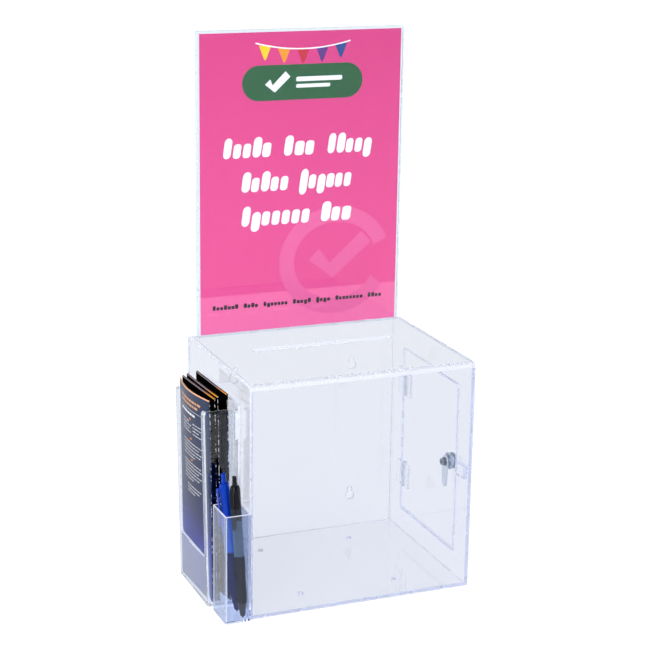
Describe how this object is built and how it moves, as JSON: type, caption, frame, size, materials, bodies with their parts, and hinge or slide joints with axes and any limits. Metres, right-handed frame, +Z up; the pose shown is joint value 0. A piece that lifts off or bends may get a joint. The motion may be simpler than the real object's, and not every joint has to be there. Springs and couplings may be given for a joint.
{
  "type": "ballot box",
  "caption": "Clear acrylic ballot box with a posting slot, a locking side door, a header poster pocket, a leaflet dispenser and a pen holder.",
  "frame": {"origin": "middle of the box's underside, on the surface that it stands on", "axes": "+Z up, +X to the box's right (the door side), +Y to its back (the header side)"},
  "size_m": [0.2637, 0.1865, 0.5258],
  "materials": {
    "acrylic": "clear polished",
    "poster_print": "satin print",
    "leaflet_print": "silk coated print",
    "steel": "satin",
    "chrome": "polished",
    "refill_plastic": "satin",
    "blue_plastic": "gloss",
    "blue_rubber": "soft matte",
    "blue_clear_plastic": "translucent gloss",
    "black_plastic": "gloss",
    "black_rubber": "soft matte",
    "smoke_clear_plastic": "translucent gloss"
  },
  "bodies": {
    "box": {"front_top_panel": "acrylic", "back_panel": "acrylic", "left_side_panel": "acrylic", "right_side_panel": "acrylic", "base_panel": "acrylic", "header_pocket": "acrylic", "hinge_upper_wall_leaf": "acrylic", "hinge_upper_pin": "steel", "hinge_lower_wall_leaf": "acrylic", "hinge_lower_pin": "steel", "catch_block": "acrylic", "leaflet_dispenser": "acrylic", "pen_holder": "acrylic"},
    "door": {"door_panel": "acrylic", "hinge_upper_door_leaf": "acrylic", "hinge_lower_door_leaf": "acrylic", "lock_housing": "chrome", "lock_nut": "chrome"},
    "lock_core": {"lock_cylinder": "steel", "lock_cam": "chrome", "cam_washer": "steel", "cam_screw": "steel"},
    "poster": {"poster_sheet": "poster_print"},
    "leaflet_1": {"leaflet_front": "leaflet_print"},
    "leaflet_2": {"leaflet_second": "leaflet_print"},
    "leaflet_3": {"leaflet_third": "leaflet_print"},
    "leaflet_4": {"leaflet_rear": "leaflet_print"},
    "blue_pen": {"blue_pen_nose": "blue_plastic", "blue_pen_grip": "blue_rubber", "blue_pen_barrel": "blue_clear_plastic", "blue_pen_upper_barrel": "blue_plastic"},
    "blue_button": {"blue_pen_plunger": "blue_plastic", "blue_pen_refill": "refill_plastic"},
    "black_pen": {"black_pen_nose": "black_plastic", "black_pen_grip": "black_rubber", "black_pen_barrel": "smoke_clear_plastic", "black_pen_upper_barrel": "black_plastic"},
    "black_button": {"black_pen_plunger": "black_plastic", "black_pen_refill": "refill_plastic"}
  },
  "joints": [
    {"name": "door_swing", "type": "hinge", "parent": "box", "child": "door", "pos_m": [0.1159, 0.063, 0.1125], "axis": [0, 0, 1], "range_deg": [0, 170]},
    {"name": "lock_turn", "type": "hinge", "parent": "door", "child": "lock_core", "pos_m": [0.1044, -0.05, 0.116], "axis": [1, 0, 0], "range_deg": [-90, 0]},
    {"name": "poster_lift", "type": "slide", "parent": "box", "child": "poster", "axis": [0, 0, 1], "range_m": [0, 0.31]},
    {"name": "leaflet_1_lift", "type": "slide", "parent": "box", "child": "leaflet_1", "axis": [-0.0123, 0, 0.9999], "range_m": [0, 0.215]},
    {"name": "leaflet_2_lift", "type": "slide", "parent": "box", "child": "leaflet_2", "axis": [-0.0123, 0, 0.9999], "range_m": [0, 0.215]},
    {"name": "leaflet_3_lift", "type": "slide", "parent": "box", "child": "leaflet_3", "axis": [-0.0123, 0, 0.9999], "range_m": [0, 0.215]},
    {"name": "leaflet_4_lift", "type": "slide", "parent": "box", "child": "leaflet_4", "axis": [-0.0123, 0, 0.9999], "range_m": [0, 0.215]},
    {"name": "blue_pen_lift", "type": "slide", "parent": "box", "child": "blue_pen", "axis": [-0.0783, 0.0625, 0.995], "range_m": [0, 0.125]},
    {"name": "blue_pen_click", "type": "slide", "parent": "blue_pen", "child": "blue_button", "axis": [-0.0783, 0.0625, 0.995], "range_m": [0, 0.005]},
    {"name": "black_pen_lift", "type": "slide", "parent": "box", "child": "black_pen", "axis": [-0.0263, 0.0973, 0.9949], "range_m": [0, 0.125]},
    {"name": "black_pen_click", "type": "slide", "parent": "black_pen", "child": "black_button", "axis": [-0.0263, 0.0973, 0.9949], "range_m": [0, 0.005]}
  ]
}
